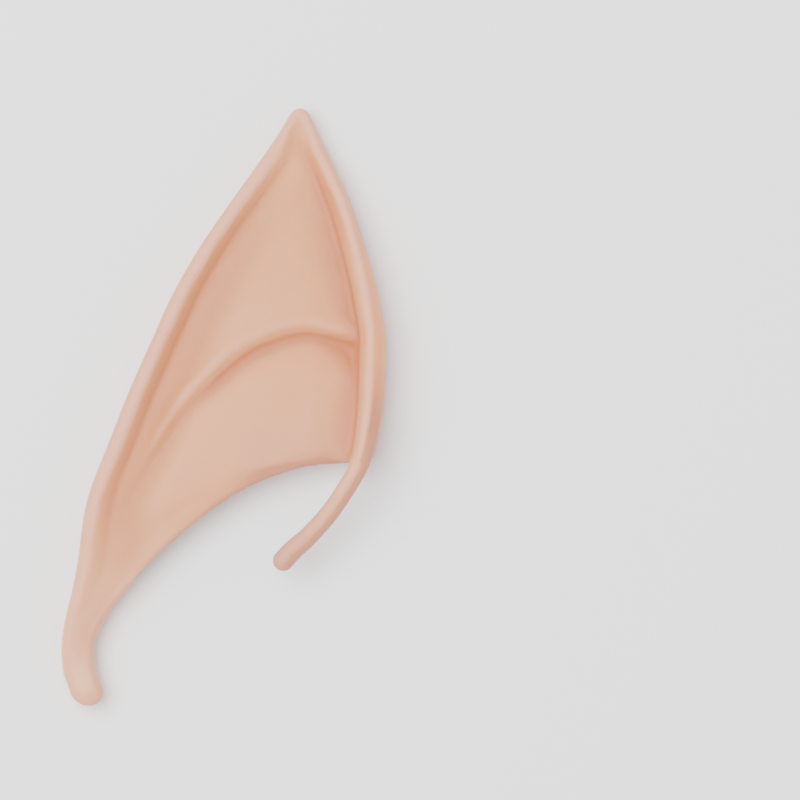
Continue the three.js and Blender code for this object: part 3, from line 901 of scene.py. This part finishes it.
# Painted shade, warmer and darker, in the hollow beside the back rim, the other hollows and
# creases
back_hollow_shade = product(
    ramp(tree, from_pool, *BACK_HOLLOW_SHADE_NEAR),
    ramp(tree, towards_hook, *BACK_HOLLOW_SHADE_ABOVE_HOOK),
    ramp(tree, towards_hook, *BACK_HOLLOW_SHADE_ABOVE_FOOT),
    ramp(tree, towards_hook, *BACK_HOLLOW_SHADE_BELOW_TIP),
)
colour = tinted(colour, BACK_HOLLOW_SHADE, back_hollow_shade)
colour = tinted(colour, HOLLOW_SHADE, ramp(tree, felt("hollow"), *HOLLOW_FELT))
crease_shade = product(
    ramp(tree, crease, *CREASE_FELT),
    ramp(tree, from_front, *CREASE_OFF_FRONT_RIM),
    ramp(tree, from_pool, *CREASE_OFF_SHADE_LINE),
    ramp(tree, towards_hook, *CREASE_ABOVE_MOUTH),
)
colour = tinted(colour, CREASE_SHADE, crease_shade)

# Painted highlight, paler, on the crests of the rims, and near the tip on the whole front rim,
# with painted crease shade inside it
colour = tinted(colour, RIM_HIGHLIGHT, ramp(tree, product(crease, -1.0), *CREST_FELT))
near_tip = ramp(tree, towards_hook, *TIP_ALONG)
tip_rim_highlight = product(ramp(tree, from_front, *TIP_RIM_NEAR), near_tip)
colour = tinted(colour, RIM_HIGHLIGHT, tip_rim_highlight)
tip_crease_shade = product(
    ramp(tree, from_front, *TIP_CREASE_IN),
    ramp(tree, from_front, *TIP_CREASE_OUT),
    near_tip,
    ramp(tree, towards_hook, *TIP_CREASE_ALONG),
    TIP_CREASE_SHARE,
)
colour = tinted(colour, CREASE_SHADE, tip_crease_shade)

# Painted shade, a saturated orange, on the outer side of the front rim and on the tail's
# right-facing side, the same darker tone over the tail's far end, and a line of painted shade
# along the tail
side_shade = product(
    ramp(tree, side, *SIDE_SHADE_FACING),
    ramp(tree, from_front, *SIDE_SHADE_NEAR),
    ramp(tree, towards_hook, *SIDE_SHADE_ALONG),
)
side_shade_colour = tinted(SIDE_SHADE, SIDE_SHADE_AT_ROOT, ramp(tree, towards_hook, *ROOT_ALONG))
colour = tinted(colour, side_shade_colour, side_shade)
on_tail = product(ramp(tree, placed["X"], *TAIL_ACROSS), ramp(tree, towards_hook, *TAIL_ALONG))
at_tail_end = product(ramp(tree, towards_hook, *TAIL_END_ALONG), TAIL_END_SHARE)
tail_side = maths(tree, "MAXIMUM", at_tail_end, ramp(tree, side, *TAIL_FACING))
colour = tinted(colour, TAIL_SHADE, product(on_tail, tail_side))
# A thin line of painted shade along the tail, where its side turns towards the right
tail_streak = product(ramp(tree, side, *TAIL_STREAK_IN), ramp(tree, side, *TAIL_STREAK_OUT))
colour = tinted(colour, CREASE_SHADE, product(tail_streak, on_tail, TAIL_STREAK_SHARE))
# Painted shade along the edge of the lip, which rolls under the face
lip_shade = product(ramp(tree, felt("from_lip"), *LIP_NEAR), LIP_SHARE)
colour = tinted(colour, LIP_SHADE, lip_shade)
tree.links.new(colour, shader.inputs["Base Color"])

# A matt skin with a fine grain, a little light going through it
roughness = add_node(tree, "ShaderNodeMapRange", Value=noise_of(*POWDER))
roughness.inputs["To Min"].default_value, roughness.inputs["To Max"].default_value = ROUGHNESS
tree.links.new(roughness.outputs[0], shader.inputs["Roughness"])
grain = noise_of(*SKIN_GRAIN)
bump = add_node(tree, "ShaderNodeBump", Strength=1.0, Distance=GRAIN_HEIGHT, Height=grain)
tree.links.new(bump.outputs[0], shader.inputs["Normal"])
for label, value in SKIN_LIGHT.items():
    shader.inputs[label].default_value = value
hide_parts("ear_sleeve")
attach(moulding, "root")


# The pale table that the moulding lies on for the picture, matt and nearly white.
TABLE_SIZE = 6.0
TABLE_COLOUR = (0.92, 0.92, 0.92, 1)
TABLE_ROUGHNESS = 0.9

half = TABLE_SIZE / 2
corners = [(-half, -half, 0), (half, -half, 0), (half, half, 0), (-half, half, 0)]
table_mesh = bpy.data.meshes.new("table_top")
table_mesh.from_pydata(corners, [], [(0, 1, 2, 3)])
table = bpy.data.objects.new("table_top", table_mesh)
bpy.context.scene.collection.objects.link(table)
pale = bpy.data.materials.new("pale_table")
pale.use_nodes = True
pale.node_tree.nodes["Principled BSDF"].inputs["Base Color"].default_value = TABLE_COLOUR
pale.node_tree.nodes["Principled BSDF"].inputs["Roughness"].default_value = TABLE_ROUGHNESS
table_mesh.materials.append(pale)


# Soft studio light: one large round softbox high on the upper left, which looks at the moulding,
# and a pale room around it that fills the shadows.
KEY_PLACE = (-0.36, 0.2, 1.1)
KEY_SIZE = 1.0
KEY_WATTS = 26.5
ROOM_COLOUR = (1, 1, 1, 1)
ROOM_STRENGTH = 1.15

lamp = bpy.data.lights.new("key", "AREA")
lamp.shape = "DISK"
lamp.size = KEY_SIZE
lamp.energy = KEY_WATTS
softbox = bpy.data.objects.new("key", lamp)
softbox.location = KEY_PLACE
softbox.rotation_euler = (-Vector(KEY_PLACE)).to_track_quat("-Z", "Y").to_euler()
bpy.context.scene.collection.objects.link(softbox)
room = bpy.data.worlds.new("room")
room.use_nodes = True
room.node_tree.nodes["Background"].inputs["Color"].default_value = ROOM_COLOUR
room.node_tree.nodes["Background"].inputs["Strength"].default_value = ROOM_STRENGTH
bpy.context.scene.world = room


# The camera looks straight down from far off, with the moulding at the left of the frame as in
# the photograph.
FRAME_WIDTH = 0.16  # what the picture shows at the height of the moulding's middle
LENS = 200.0
SENSOR = 36.0
AIM = (0.03536, 0.0014)
AIM_HEIGHT = 0.007

eye = bpy.data.cameras.new("camera")
eye.lens = LENS
eye.sensor_width = SENSOR
camera = bpy.data.objects.new("camera", eye)
camera.location = (*AIM, AIM_HEIGHT + FRAME_WIDTH * LENS / SENSOR)
bpy.context.scene.collection.objects.link(camera)
bpy.context.scene.camera = camera
